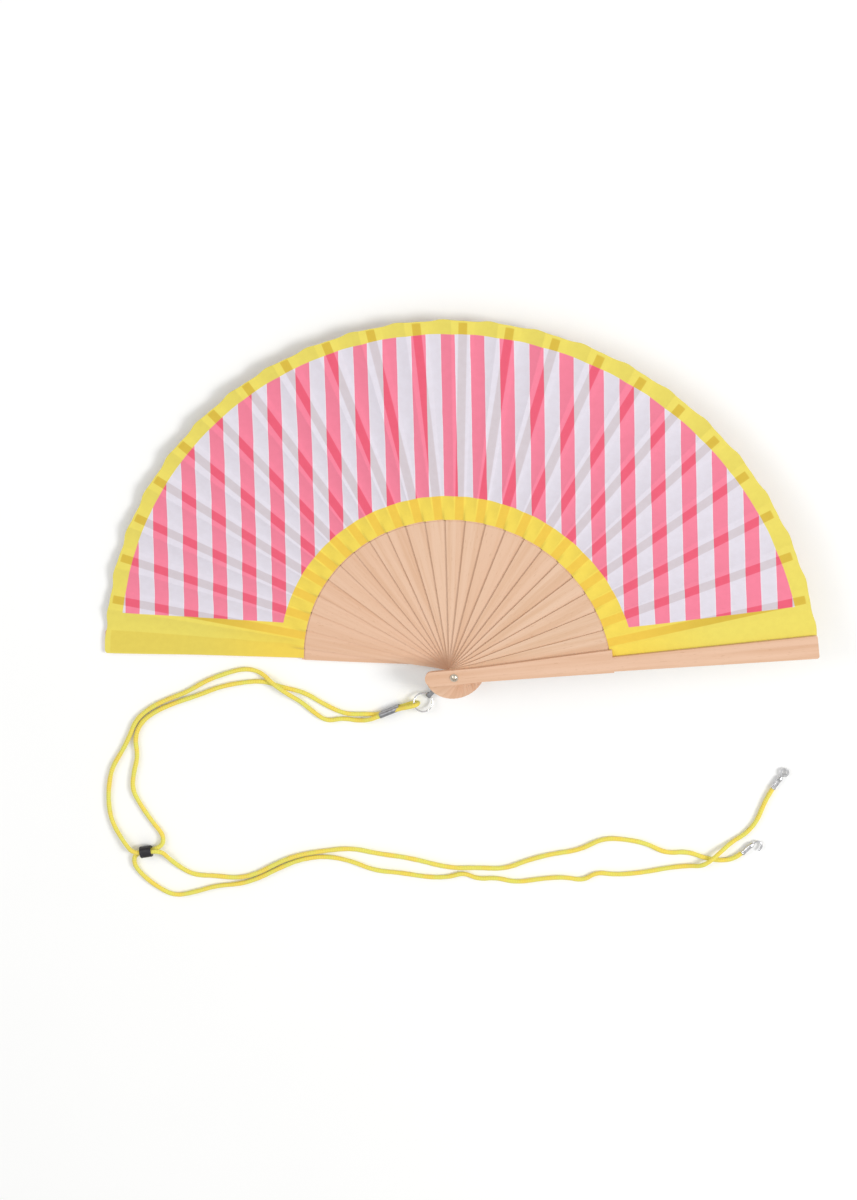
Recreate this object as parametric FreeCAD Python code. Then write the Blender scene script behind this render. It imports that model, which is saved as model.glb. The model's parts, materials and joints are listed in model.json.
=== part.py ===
import FreeCAD, Part
import math
import os

# Folding hand fan on a neck lanyard, lying open on its back guard.
# Millimetres and degrees. Z is the pivot pin's axis, with z = 0 on the back guard's outer face.
# The leaf opens towards +Y, and the front guard, the topmost stick, points towards +X.
# A stick's own outline is drawn with u outward from the pin and v to its left, seen from above.

PARTS = "parts"
os.makedirs(PARTS, exist_ok=True)

# ---- Driving dimensions of the fan ----
RIB_COUNT = 22
RIB_PITCH = 7.42  # angle between neighbouring ribs
FIRST_RIB_ANGLE = 170.14
BACK_GUARD_ANGLE = 177.2
FRONT_GUARD_ANGLE = 6.5

GUARD_THICKNESS = 2.5
TAB_SLOT = 0.8  # room for the lanyard tab between the back guard and the first rib
RIB_STEP = 1.0  # rise from one rib to the next
RIB_THICKNESS = 0.92
SLAT_THICKNESS = 0.45
LEAF_THICKNESS = 0.4

STICK_REACH = 212.0  # from the pin to a guard's tip
SLAT_REACH = 209.0
HEAD_REACH = 17.2  # from the pin to the end of a head
HEAD_HALF_WIDTH = 4.5
HEAD_CORNER = 4.2  # radius of a head's two corners
WAIST_REACH = 14.0
MIDDLE_REACH = 61.0
SHOULDER_REACH = 93.4
REBATE_REACH = 91.5  # beyond this radius a stick is thinned, where the leaf lies on it
SLAT_WIDTH = 5.0
STRIP_OVERLAP = 3.0  # how far a slat or blade runs back into its gorge
BLADE_START_WIDTH = 8.6
BLADE_END_WIDTH = 13.7
BLADE_CORNER = 1.5
# Half widths of the gorge at the waist, the middle and the shoulder
RIB_SIDE = (4.5, 6.4, 7.9)
GUARD_LEAF_SIDE = (4.6, 7.1, 8.7)
GUARD_OUTER_SIDE = (4.0, 4.6, 5.1)
BACK_OUTER_SIDE = (1.7, 3.4, 4.3)  # the back guard is slimmer on its outer side
BACK_BLADE_TURN = 1.2  # its blade leans outwards by this angle, about a point along it
BACK_BLADE_CENTRE = 150.0

LEAF_INNER = 92.2
LEAF_OUTER = 210.0
BACK_LEAF_EDGE = 1.8  # how far the leaf covers the back guard past its centreline, in degrees
FRONT_LEAF_EDGE = 1.2

# ---- Pivot ----
PIN_RADIUS = 1.2
PIN_HOLE_RADIUS = 1.25
SEAT_RADIUS = 2.7  # counterbore for the rear head, in the back guard
SEAT_DEPTH = 1.0
WASHER_RADIUS = 2.35
WASHER_HOLE_RADIUS = 1.22
WASHER_THICKNESS = 0.4
SLIDING_GAP = 0.06
DOME_RADIUS = 1.7
DOME_HEIGHT = 0.7
REAR_HEAD_RADIUS = 2.2

# ---- Lanyard fittings ----
TAB_ANGLE = 229.0  # direction of the tab from the pin
TAB_REACH = 27.0  # from the pin to the axis of the rolled knuckle
TAB_WIDTH = 4.2
TAB_NECK_WIDTH = 2.6
TAB_THICKNESS = 0.5
TAB_EYE_RADIUS = 3.6
KNUCKLE_HEIGHT = 1.6
KNUCKLE_RADIUS = 1.55
KNUCKLE_BORE = 1.2
KNUCKLE_LENGTH = 2.8
RING_RADIUS = 5.55  # mean radius of the split ring
RING_WIRE = 0.9
RING_HEIGHT = 1.8  # two turns of wire
RING_TILT = 20.0
RING_ROUNDING = 0.3

CORD_DIAMETER = 2.8
CRIMP_CENTRE = (-41.1, -30.6)
CRIMP_ANGLE = 204.0
CRIMP_LENGTH = 12.8
CRIMP_WIDTH = 3.4
CRIMP_HEIGHT = 6.3
CRIMP_WALL = 0.25

BEAD_CENTRE = (-191.9, -125.3)
BEAD_ANGLE = 11.0
BEAD_LENGTH = 7.2
BEAD_DIAMETER = 7.2
BEAD_SLOT = (3.1, 6.0)
BEAD_ROUNDING = 0.5

FERRULE_LENGTH = 7.5
FERRULE_RADIUS = 1.75
FERRULE_NOSE_RADIUS = 1.2
FERRULE_NOSE = 1.6
CORD_GRIP = 5.0  # length of cord inside a ferrule
HOOK_START = (169.3, -115.1)
HOOK_ANGLE = 45.0
HOOK_WIRE = 0.6  # radius of the wire
HOOK_SHANK = 0.8
HOOK_BEND = 2.6
HOOK_TURN = 170.0
HOOK_RETURN = (-1.8, -0.3)
EYE_START = (186.6, -73.2)
EYE_ANGLE = 57.0
EYE_RADIUS = 2.7
EYE_HOLE_RADIUS = 1.5
EYE_THICKNESS = 1.2
EYE_SHANK = 0.4
EYE_SHANK_WIDTH = 1.6
FITTING_HEIGHT = 1.8  # of both end fittings' axes above the table
ARC_SHARE = 0.45  # the share of the shorter run that each arc of a cord's path takes

# ---- Lanyard routes: x, y and z of each point, from the split ring to the end fitting ----
# Strand A goes over the ring and on top in the crimp and the bead, and ends in the hook.
ROUTE_A = [
    (-29.8, -26.4, 1.45), (-24.1, -24.6, 1.45), (-24.1, -24.6, 7.6), (-29.6, -26.2, 7.6),
    (-36.0, -28.4, 4.6), (-47.8, -33.6, 4.6), (-54.0, -36.4, 3.9), (-61.0, -37.6, 1.45),
    (-70.0, -36.3, 1.45), (-79.5, -38.7, 1.45), (-88.0, -32.4, 1.45), (-94.5, -26.8, 1.45),
    (-101.5, -21.2, 4.9), (-110.5, -15.2, 4.9), (-118.5, -8.3, 1.45), (-128.0, -6.4, 1.45),
    (-140.0, -10.0, 1.45), (-152.0, -15.0, 1.45), (-163.5, -22.4, 1.45), (-174.5, -26.8, 1.45),
    (-186.0, -32.6, 1.45), (-195.5, -41.0, 1.45), (-199.8, -52.0, 1.45), (-205.0, -62.0, 1.45),
    (-211.2, -72.0, 1.45), (-213.8, -84.0, 1.45), (-214.4, -96.0, 1.45), (-212.6, -108.0, 1.45),
    (-204.8, -121.2, 3.0), (-199.0, -126.7, 5.05), (-182.8, -123.5, 5.05), (-178.0, -129.7, 3.0),
    (-171.0, -136.2, 1.45), (-162.5, -140.6, 1.45), (-150.0, -140.6, 1.45), (-136.0, -141.8, 1.45),
    (-124.0, -138.4, 1.45), (-111.0, -130.6, 1.45), (-98.5, -125.3, 1.45), (-84.0, -122.3, 1.45),
    (-66.0, -119.6, 1.45), (-50.0, -122.9, 1.45), (-30.0, -125.0, 1.45), (-6.0, -131.0, 1.45),
    (11.0, -129.9, 1.45), (27.0, -130.3, 1.45), (41.0, -124.0, 1.45), (56.0, -119.4, 1.45),
    (72.0, -116.6, 1.45), (86.0, -108.4, 1.45), (99.0, -108.6, 1.45), (112.0, -110.8, 1.45),
    (124.0, -117.0, 1.45), (137.0, -115.2, 1.45), (148.0, -119.6, 1.45), (159.5, -120.6, 1.45),
    (167.2, -117.2, 1.8), (172.84, -111.56, 1.8),
]
# Strand B goes under the ring and below in the crimp and the bead, and ends in the eye.
ROUTE_B = [
    (-29.8, -26.4, 1.45), (-36.0, -28.36, 1.7), (-47.8, -33.6, 1.7), (-55.0, -33.2, 1.45),
    (-68.0, -34.0, 1.45), (-81.0, -27.8, 1.45), (-93.0, -20.3, 1.45), (-106.0, -17.8, 1.45),
    (-117.0, -14.0, 1.45), (-130.0, -15.4, 1.45), (-144.0, -18.6, 1.45), (-157.0, -24.4, 1.45),
    (-170.0, -29.0, 1.45), (-183.0, -35.0, 1.45), (-192.6, -42.6, 1.45), (-196.6, -53.0, 1.45),
    (-195.0, -64.0, 1.45), (-198.2, -75.5, 1.45), (-199.4, -86.0, 1.45), (-194.4, -96.0, 1.45),
    (-187.6, -106.8, 1.45), (-180.6, -115.6, 1.6), (-182.8, -123.5, 2.15), (-199.0, -126.7, 2.15),
    (-200.3, -134.8, 1.45), (-194.6, -142.2, 1.45), (-186.0, -149.2, 1.45), (-175.5, -154.8, 1.45),
    (-163.0, -151.8, 1.45), (-149.0, -147.0, 1.45), (-135.0, -145.6, 1.45), (-123.5, -141.6, 1.45),
    (-110.0, -134.0, 1.45), (-97.0, -128.0, 1.45), (-82.0, -125.4, 1.45), (-67.0, -127.8, 1.45),
    (-52.0, -134.0, 1.45), (-36.0, -134.8, 1.45), (-20.0, -137.2, 1.45), (-7.0, -136.8, 1.45),
    (2.0, -133.4, 1.45), (11.0, -137.4, 1.45), (22.0, -136.0, 1.45), (34.0, -138.8, 1.45),
    (49.0, -135.8, 1.45), (63.0, -134.2, 1.45), (74.5, -136.2, 1.45), (82.5, -130.4, 1.45),
    (94.0, -131.8, 1.45), (110.0, -129.8, 1.45), (126.0, -126.0, 1.45), (137.5, -124.4, 1.45),
    (146.5, -123.2, 4.9), (155.0, -115.4, 4.9), (162.5, -108.6, 1.45), (171.0, -103.0, 1.45),
    (177.4, -95.0, 1.45), (181.0, -84.8, 1.45), (184.97, -75.72, 1.8), (189.32, -69.01, 1.8),
]


# ---- Helpers ----
def point(x, y, z=0.0):
    return FreeCAD.Vector(x, y, z)


def polar(radius, angle, z=0.0):
    turn = math.radians(angle)
    return point(radius * math.cos(turn), radius * math.sin(turn), z)


def save(name, shape):
    shape = shape.removeSplitter() if len(shape.Solids) == 1 else shape
    shape.exportStep(os.path.join(PARTS, name + ".step"))


def placed(shape, position, angle):
    """A copy of shape, turned about Z and then moved to position."""
    moved = shape.copy()
    spin = FreeCAD.Rotation(point(0, 0, 1), angle)
    moved.Placement = FreeCAD.Placement(position, spin).multiply(moved.Placement)
    return moved


def slab(outline, bottom, height):
    """A flat solid of the given closed edges or points."""
    wire = outline if isinstance(outline, Part.Wire) else Part.makePolygon(outline + outline[:1])
    face = Part.Face(wire)
    face.translate(point(0, 0, bottom))
    return face.extrude(point(0, 0, height))


def tube(outer, inner, bottom, height):
    solid = Part.makeCylinder(outer, height, point(0, 0, bottom))
    return solid.cut(Part.makeCylinder(inner, height, point(0, 0, bottom)))


def beyond(radius, bottom, height):
    """A broad flat ring that holds everything past a radius from the pin."""
    return tube(2 * STICK_REACH, radius, bottom, height)


# ---- Sticks ----
def gorge_outline(left, right):
    """The handle end of a stick: a round-cornered head, a waist and a flare to the shoulder.
    left and right are the half widths at the waist, the middle and the shoulder."""
    stations = (WAIST_REACH, MIDDLE_REACH, SHOULDER_REACH)
    upper = [point(u, v) for u, v in zip(stations, left)]
    lower = [point(u, -v) for u, v in zip(stations, right)]
    end = -HEAD_REACH
    neck = end + HEAD_CORNER
    side = HEAD_HALF_WIDTH
    flat = side - HEAD_CORNER
    edges = [
        Part.LineSegment(upper[0], point(0, side)).toShape(),
        Part.LineSegment(point(0, side), point(neck, side)).toShape(),
        corner_arc(point(neck, side), point(end, side), point(end, flat)),
        Part.LineSegment(point(end, flat), point(end, -flat)).toShape(),
        corner_arc(point(end, -flat), point(end, -side), point(neck, -side)),
        Part.LineSegment(point(neck, -side), point(0, -side)).toShape(),
        Part.LineSegment(point(0, -side), lower[0]).toShape(),
    ]
    corners = lower + upper[::-1]
    for start, end in zip(corners, corners[1:]):
        edges.append(Part.LineSegment(start, end).toShape())
    return Part.Wire(edges)


def blade_outline():
    start = BLADE_START_WIDTH / 2
    end = BLADE_END_WIDTH / 2
    inner = SHOULDER_REACH - STRIP_OVERLAP
    bevel = STICK_REACH - BLADE_CORNER
    tip = end - BLADE_CORNER
    edges = [
        Part.LineSegment(point(STICK_REACH, -tip), point(STICK_REACH, tip)).toShape(),
        corner_arc(point(STICK_REACH, tip), point(STICK_REACH, end), point(bevel, end)),
        Part.LineSegment(point(bevel, end), point(inner, start)).toShape(),
        Part.LineSegment(point(inner, start), point(inner, -start)).toShape(),
        Part.LineSegment(point(inner, -start), point(bevel, -end)).toShape(),
        corner_arc(point(bevel, -end), point(STICK_REACH, -end), point(STICK_REACH, -tip)),
    ]
    return Part.Wire(edges)


def corner_arc(start, corner, end):
    """A rounded corner between two points that lie the same distance from it."""
    middle = (start + end) * 0.5
    radius = (start - corner).Length
    centre = start + end - corner
    bulge = centre + (corner - middle).normalize() * radius
    return Part.Arc(start, bulge, end).toShape()


def slat_outline():
    half = SLAT_WIDTH / 2
    inner = SHOULDER_REACH - STRIP_OVERLAP
    tip = SLAT_REACH - half
    edges = [
        Part.LineSegment(point(inner, -half), point(tip, -half)).toShape(),
        Part.Arc(point(tip, -half), point(SLAT_REACH, 0), point(tip, half)).toShape(),
        Part.LineSegment(point(tip, half), point(inner, half)).toShape(),
        Part.LineSegment(point(inner, half), point(inner, -half)).toShape(),
    ]
    return Part.Wire(edges)


def rib(bottom, angle):
    gorge = slab(gorge_outline(RIB_SIDE, RIB_SIDE), bottom, RIB_THICKNESS)
    slat = slab(slat_outline(), bottom, SLAT_THICKNESS)
    above = beyond(REBATE_REACH, bottom + SLAT_THICKNESS, RIB_THICKNESS)
    solid = gorge.cut(above).fuse(slat)
    solid = solid.cut(Part.makeCylinder(PIN_HOLE_RADIUS, 2 * RIB_THICKNESS, point(0, 0, bottom)))
    return placed(solid, point(0, 0), angle)


def back_guard():
    gorge = slab(gorge_outline(BACK_OUTER_SIDE, GUARD_LEAF_SIDE), 0, GUARD_THICKNESS)
    blade = slab(blade_outline(), 0, GUARD_THICKNESS - LEAF_THICKNESS)
    blade.rotate(point(BACK_BLADE_CENTRE, 0), point(0, 0, 1), BACK_BLADE_TURN)
    above = beyond(REBATE_REACH, GUARD_THICKNESS - LEAF_THICKNESS, GUARD_THICKNESS)
    solid = gorge.cut(above).fuse(blade)
    solid = solid.cut(Part.makeCylinder(PIN_HOLE_RADIUS, GUARD_THICKNESS))
    solid = solid.cut(Part.makeCylinder(SEAT_RADIUS, SEAT_DEPTH))
    return placed(solid, point(0, 0), BACK_GUARD_ANGLE)


def front_guard(bottom):
    gorge = slab(gorge_outline(GUARD_LEAF_SIDE, GUARD_OUTER_SIDE), bottom, GUARD_THICKNESS)
    blade = slab(blade_outline(), bottom, GUARD_THICKNESS)
    below = beyond(REBATE_REACH, bottom - LEAF_THICKNESS, 2 * LEAF_THICKNESS)
    solid = gorge.fuse(blade).cut(below)
    solid = solid.cut(Part.makeCylinder(PIN_HOLE_RADIUS, 2 * GUARD_THICKNESS, point(0, 0, bottom)))
    return placed(solid, point(0, 0), FRONT_GUARD_ANGLE)


# ---- Leaf ----
def leaf_panel(bottom, low_angle, high_angle):
    """One flat sector of the leaf, as thick as a stack slot allows."""
    def curve(radius, start, end):
        middle = polar(radius, (start + end) / 2)
        return Part.Arc(polar(radius, start), middle, polar(radius, end)).toShape()

    def side(start, end, angle):
        return Part.LineSegment(polar(start, angle), polar(end, angle)).toShape()

    outline = Part.Wire([
        curve(LEAF_INNER, high_angle, low_angle),
        side(LEAF_INNER, LEAF_OUTER, low_angle),
        curve(LEAF_OUTER, low_angle, high_angle),
        side(LEAF_OUTER, LEAF_INNER, high_angle),
    ])
    return slab(outline, bottom, LEAF_THICKNESS)


# ---- Pivot pieces ----
def pivot_pin(stack_top):
    dome_base = stack_top + SLIDING_GAP + WASHER_THICKNESS
    sphere_radius = (DOME_RADIUS**2 + DOME_HEIGHT**2) / (2 * DOME_HEIGHT)
    shaft = Part.makeCylinder(PIN_RADIUS, dome_base)
    rear_head = Part.makeCylinder(REAR_HEAD_RADIUS, SEAT_DEPTH - WASHER_THICKNESS)
    ball = Part.makeSphere(sphere_radius, point(0, 0, dome_base + DOME_HEIGHT - sphere_radius))
    dome = ball.common(Part.makeCylinder(DOME_RADIUS, DOME_HEIGHT, point(0, 0, dome_base)))
    return shaft.fuse(rear_head).fuse(dome)


def pivot_washers(stack_top):
    front = tube(WASHER_RADIUS, WASHER_HOLE_RADIUS, stack_top + SLIDING_GAP, WASHER_THICKNESS)
    rear = tube(WASHER_RADIUS, WASHER_HOLE_RADIUS, SEAT_DEPTH - WASHER_THICKNESS, WASHER_THICKNESS)
    return Part.makeCompound([front, rear])


# ---- Lanyard pieces ----
def lanyard_tab():
    """A sheet strip with a pin eye at one end, rolled under into a knuckle at the other."""
    top = KNUCKLE_HEIGHT + KNUCKLE_RADIUS
    bottom = top - TAB_THICKNESS
    eye = Part.makeCylinder(TAB_EYE_RADIUS, TAB_THICKNESS, point(0, 0, bottom))
    strip = slab([
        point(0, -TAB_WIDTH / 2),
        point(TAB_REACH, -TAB_NECK_WIDTH / 2),
        point(TAB_REACH, TAB_NECK_WIDTH / 2),
        point(0, TAB_WIDTH / 2),
    ], bottom, TAB_THICKNESS)
    start = point(TAB_REACH, -KNUCKLE_LENGTH / 2, KNUCKLE_HEIGHT)
    across = point(0, 1, 0)
    roll = Part.makeCylinder(KNUCKLE_RADIUS, KNUCKLE_LENGTH, start, across)
    bore = Part.makeCylinder(KNUCKLE_BORE, KNUCKLE_LENGTH, start, across)
    pin_hole = Part.makeCylinder(PIN_HOLE_RADIUS, TAB_THICKNESS, point(0, 0, bottom))
    solid = eye.fuse([strip, roll]).cut([bore, pin_hole])
    return placed(solid, point(0, 0), TAB_ANGLE)


def split_ring():
    """The ring hangs in the knuckle, tilted up about the knuckle's axis by the cord under it."""
    inner = RING_RADIUS - RING_WIRE / 2
    outer = RING_RADIUS + RING_WIRE / 2
    ring = tube(outer, inner, -RING_HEIGHT / 2, RING_HEIGHT)
    ring = ring.makeFillet(RING_ROUNDING, [e for e in ring.Edges if isinstance(e.Curve, Part.Circle)])
    ring.translate(point(RING_RADIUS, 0))
    ring.rotate(point(0, 0), point(0, 1, 0), -RING_TILT)
    ring.translate(point(TAB_REACH, 0, KNUCKLE_HEIGHT))
    return placed(ring, point(0, 0), TAB_ANGLE)


def rounded_slot(width, height, length):
    """A bar along X whose section is an upright oval."""
    straight = height - width
    box = Part.makeBox(length, width, straight, point(-length / 2, -width / 2, -straight / 2))
    ends = []
    for side in (-1, 1):
        ends.append(Part.makeCylinder(
            width / 2, length, point(-length / 2, 0, side * straight / 2), point(1, 0, 0)
        ))
    return box.fuse(ends).removeSplitter()


def cord_crimp():
    shell = rounded_slot(CRIMP_WIDTH, CRIMP_HEIGHT, CRIMP_LENGTH)
    hollow = rounded_slot(CRIMP_WIDTH - 2 * CRIMP_WALL, CRIMP_HEIGHT - 2 * CRIMP_WALL, CRIMP_LENGTH)
    return placed(shell.cut(hollow), point(*CRIMP_CENTRE, CRIMP_HEIGHT / 2), CRIMP_ANGLE)


def slide_bead():
    start = point(-BEAD_LENGTH / 2, 0, 0)
    barrel = Part.makeCylinder(BEAD_DIAMETER / 2, BEAD_LENGTH, start, point(1, 0, 0))
    rims = [e for e in barrel.Edges if isinstance(e.Curve, Part.Circle)]
    barrel = barrel.makeFillet(BEAD_ROUNDING, rims)
    barrel = barrel.cut(rounded_slot(*BEAD_SLOT, 2 * BEAD_LENGTH))
    return placed(barrel, point(*BEAD_CENTRE, BEAD_DIAMETER / 2), BEAD_ANGLE)


def cord_path(route):
    """Straight runs joined by tangent arcs, with each arc as large as its two runs allow."""
    points = [point(*p) for p in route]
    edges, radii = [], []
    start = points[0]
    for before, corner, after in zip(points, points[1:], points[2:]):
        inward = (before - corner).normalize()
        outward = (after - corner).normalize()
        half_turn = (math.pi - inward.getAngle(outward)) / 2
        reach = ARC_SHARE * min((before - corner).Length, (after - corner).Length)
        radius = reach / math.tan(half_turn)
        arc_start = corner + inward * reach
        arc_end = corner + outward * reach
        bisector = (inward + outward).normalize()
        arc_middle = corner + bisector * (radius / math.cos(half_turn) - radius)
        edges.append(Part.LineSegment(start, arc_start).toShape())
        edges.append(Part.Arc(arc_start, arc_middle, arc_end).toShape())
        radii.append(radius)
        start = arc_end
    edges.append(Part.LineSegment(start, points[-1]).toShape())
    return Part.Wire(edges), radii


def cord(name, route):
    path, radii = cord_path(route)
    first = point(*route[0])
    direction = point(*route[1]) - first
    section = Part.Wire(Part.makeCircle(CORD_DIAMETER / 2, first, direction))
    solid = path.makePipeShell([section], True, False)
    expected = math.pi * CORD_DIAMETER**2 / 4 * path.Length
    print(name, "length", round(path.Length, 1), "volume ratio", round(solid.Volume / expected, 5),
          "valid", solid.isValid(), "lowest", round(solid.optimalBoundingBox().ZMin, 3))
    print("  radii", [round(r, 1) for r in radii])
    return solid


def ferrule():
    """A turned sleeve that grips a cord's end and carries a fitting on its closed nose, along X."""
    along = point(1, 0, 0)
    body = Part.makeCylinder(FERRULE_RADIUS, FERRULE_LENGTH, point(0, 0, 0), along)
    nose = Part.makeCone(
        FERRULE_RADIUS, FERRULE_NOSE_RADIUS, FERRULE_NOSE, point(FERRULE_LENGTH, 0, 0), along
    )
    socket = Part.makeCylinder(CORD_DIAMETER / 2, CORD_GRIP, point(0, 0, 0), along)
    return body.fuse(nose).cut(socket)


def closing_hook():
    """A wire shank that bends round to the right and ends in a short return, along X."""
    nose_end = FERRULE_LENGTH + FERRULE_NOSE
    bend_start = nose_end + HOOK_SHANK
    centre = point(bend_start, -HOOK_BEND)
    middle = centre + polar(HOOK_BEND, 90 - HOOK_TURN / 2)
    end = centre + polar(HOOK_BEND, 90 - HOOK_TURN)
    tail = end + point(*HOOK_RETURN)
    path = Part.Wire([
        Part.LineSegment(point(nose_end, 0), point(bend_start, 0)).toShape(),
        Part.Arc(point(bend_start, 0), middle, end).toShape(),
        Part.LineSegment(end, tail).toShape(),
    ])
    section = Part.Wire(Part.makeCircle(HOOK_WIRE, point(nose_end, 0), point(1, 0, 0)))
    wire = path.makePipeShell([section], True, False, 2)
    return wire.fuse(Part.makeSphere(HOOK_WIRE, tail))


def closing_eye():
    """A flat eye with a short shank, along X."""
    nose_end = FERRULE_LENGTH + FERRULE_NOSE
    centre = point(nose_end + EYE_SHANK + EYE_RADIUS, 0, -EYE_THICKNESS / 2)
    disc = Part.makeCylinder(EYE_RADIUS, EYE_THICKNESS, centre)
    shank = Part.makeBox(
        EYE_RADIUS, EYE_SHANK_WIDTH, EYE_THICKNESS,
        point(nose_end, -EYE_SHANK_WIDTH / 2, -EYE_THICKNESS / 2),
    )
    hole = Part.makeCylinder(EYE_HOLE_RADIUS, EYE_THICKNESS, centre)
    return disc.fuse(shank).cut(hole)


# ---- Build every piece ----
rib_angles = [FIRST_RIB_ANGLE - RIB_PITCH * index for index in range(RIB_COUNT)]
first_rib_bottom = GUARD_THICKNESS + TAB_SLOT
rib_bottoms = [first_rib_bottom + RIB_STEP * index for index in range(RIB_COUNT)]
front_bottom = first_rib_bottom + RIB_STEP * RIB_COUNT
stack_top = front_bottom + GUARD_THICKNESS

save("back_guard", back_guard())
for index, (bottom, angle) in enumerate(zip(rib_bottoms, rib_angles)):
    save(f"rib_{index + 1:02d}", rib(bottom, angle))
save("front_guard", front_guard(front_bottom))

stick_angles = [BACK_GUARD_ANGLE] + rib_angles + [FRONT_GUARD_ANGLE]
leaf_bottoms = [GUARD_THICKNESS - LEAF_THICKNESS]
leaf_bottoms += [bottom + SLAT_THICKNESS for bottom in rib_bottoms]
leaf_bottoms += [front_bottom]
folds = [(a + b) / 2 for a, b in zip(stick_angles, stick_angles[1:])]
panel_edges = [BACK_GUARD_ANGLE + BACK_LEAF_EDGE] + folds + [FRONT_GUARD_ANGLE - FRONT_LEAF_EDGE]
for index, bottom in enumerate(leaf_bottoms):
    panel = leaf_panel(bottom, panel_edges[index + 1], panel_edges[index])
    save(f"leaf_panel_{index + 1:02d}", panel)

save("pivot_pin", pivot_pin(stack_top))
save("pivot_washers", pivot_washers(stack_top))
save("lanyard_tab", lanyard_tab())
save("split_ring", split_ring())
save("cord_crimp", cord_crimp())
save("slide_bead", slide_bead())
save("lanyard_cord_a", cord("lanyard_cord_a", ROUTE_A))
save("lanyard_cord_b", cord("lanyard_cord_b", ROUTE_B))

hook_base = point(*HOOK_START, FITTING_HEIGHT)
eye_base = point(*EYE_START, FITTING_HEIGHT)
save("hook_ferrule", placed(ferrule(), hook_base, HOOK_ANGLE))
save("closing_hook", placed(closing_hook(), hook_base, HOOK_ANGLE))
save("eye_ferrule", placed(ferrule(), eye_base, EYE_ANGLE))
save("closing_eye", placed(closing_eye(), eye_base, EYE_ANGLE))
print("stack top", stack_top, "nodes", len(os.listdir(PARTS)))
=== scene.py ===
import json
import math
import random

import bpy
import numpy as np
from mathutils import Euler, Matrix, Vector


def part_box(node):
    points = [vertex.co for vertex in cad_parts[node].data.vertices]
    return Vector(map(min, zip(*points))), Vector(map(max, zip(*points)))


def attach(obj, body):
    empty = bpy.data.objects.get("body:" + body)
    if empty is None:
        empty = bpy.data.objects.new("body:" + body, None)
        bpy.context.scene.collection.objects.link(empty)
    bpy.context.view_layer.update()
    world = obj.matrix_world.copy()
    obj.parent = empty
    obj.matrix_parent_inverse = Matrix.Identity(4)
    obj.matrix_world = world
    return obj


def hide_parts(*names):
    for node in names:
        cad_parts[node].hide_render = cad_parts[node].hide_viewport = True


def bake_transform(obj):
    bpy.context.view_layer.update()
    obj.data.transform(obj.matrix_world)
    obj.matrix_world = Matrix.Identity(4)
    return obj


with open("model.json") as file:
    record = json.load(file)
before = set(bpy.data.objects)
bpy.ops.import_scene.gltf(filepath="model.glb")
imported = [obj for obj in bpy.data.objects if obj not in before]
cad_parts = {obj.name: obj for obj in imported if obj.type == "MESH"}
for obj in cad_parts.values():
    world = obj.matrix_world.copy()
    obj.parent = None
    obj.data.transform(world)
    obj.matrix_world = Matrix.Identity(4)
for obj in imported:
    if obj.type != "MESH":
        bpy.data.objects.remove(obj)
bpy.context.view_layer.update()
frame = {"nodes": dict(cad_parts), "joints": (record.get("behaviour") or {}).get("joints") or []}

# An open folding hand fan on its neck lanyard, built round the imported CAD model.
# Metres and degrees, in the CAD model's own frame: Z along the rivet, +Y towards the middle of the leaf.

random.seed(7)

# ---- The sticks, as in the CAD source ----
RIB_COUNT = 22
RIB_PITCH = 7.42
FIRST_RIB_ANGLE = 170.14
BACK_GUARD_ANGLE = 177.2
FRONT_GUARD_ANGLE = 6.5
SLAT_WIDTH = 0.005
SLAT_REACH = 0.209
STICK_REACH = 0.212
TIP_RADIUS = 0.21  # near the sticks' tips, where the cloth is widest
BLADE_START = (0.0934, 0.0086)  # where a guard's blade starts, and its width there
BLADE_END = (0.212, 0.0137)
BACK_BLADE_TURN = 1.2  # the back guard's blade leans outwards, about a point along it
BACK_BLADE_CENTRE = 0.150

RIB_ANGLES = [FIRST_RIB_ANGLE - RIB_PITCH * index for index in range(RIB_COUNT)]
STICK_ANGLES = [BACK_GUARD_ANGLE] + RIB_ANGLES + [FRONT_GUARD_ANGLE]
RIB_NAMES = [f"rib_{index + 1:02d}" for index in range(RIB_COUNT)]
STICK_NAMES = ["back_guard"] + RIB_NAMES + ["front_guard"]
LAST_STICK = len(STICK_NAMES) - 1

# ---- The leaf ----
LEAF_INNER = 0.0922
LEAF_OUTER = 0.2105
OUTER_SWAY = 0.0011  # how far the outer edge, cut by hand, strays from a circle
OUTER_SWAY_PEAK = 30.0  # the angle at which it strays outwards most
CLOTH_THICKNESS = 0.00022
TIP_LAP = 0.0002  # how far the leaf's end passes the back guard's tip
TIP_ANGLE = 173.5  # from this angle on, the outer edge is drawn out towards that tip
BACK_LAP = 0.00015  # how far the leaf laps over the back guard's outer edge
BACK_LAP_MORE = 0.0007  # and how much more near its tip
BACK_LAP_RADII = (0.150, 0.205)
FRONT_COVER = 0.62  # how far the leaf runs past the front guard's centreline, in half widths
CORNER_SHARE = 0.78  # an end strip's corner is rounded from this share of its width
CORNER_CUT = 0.0012
CORNER_ROWS = 0.0015  # and over this much of its length

# ---- The leaf's print, on the flat cloth ----
PRINT_INNER = 0.1064  # radii between which the stripes are printed
PRINT_OUTER = 0.2020
PRINT_FOOT_LEFT = (-0.0155, 0.01933)  # slope and height of the print's lower edge on each side
PRINT_FOOT_RIGHT = (0.098, 0.0165)
STRIPE_PERIOD = 0.01764
STRIPE_START = -0.00503
PINK_WIDTH = 0.0085
STRIPE_RIM = 0.0005  # the paler line along each stripe's edge
STRIPE_BLUR = 0.00012
PRINT_BLUR = 0.0001
PRINT_WOBBLE = 0.0006
THREAD_PITCH = 0.00042

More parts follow.
